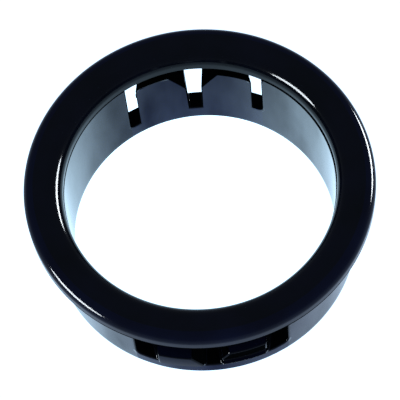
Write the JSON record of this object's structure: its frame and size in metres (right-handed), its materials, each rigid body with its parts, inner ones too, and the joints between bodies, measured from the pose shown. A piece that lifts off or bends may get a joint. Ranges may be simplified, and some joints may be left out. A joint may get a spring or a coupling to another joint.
{
  "type": "snap bushing",
  "caption": "Moulded nylon snap bushing: a ring with a rounded flange, and a barrel with windows of flexing fingers that lock it in a round panel hole and guard cables.",
  "frame": {"origin": "on the bore's axis, level with the flange's underside, where it seats on the panel", "axes": "+Z along the bore, out of the flange's face; +Y towards the rear window; +X across the windows"},
  "size_m": [0.0308, 0.0308, 0.0106],
  "materials": {
    "black_nylon": "smooth moulded black nylon, glossy"
  },
  "bodies": {
    "root": {"snap_bushing": "black_nylon"}
  },
  "joints": []
}
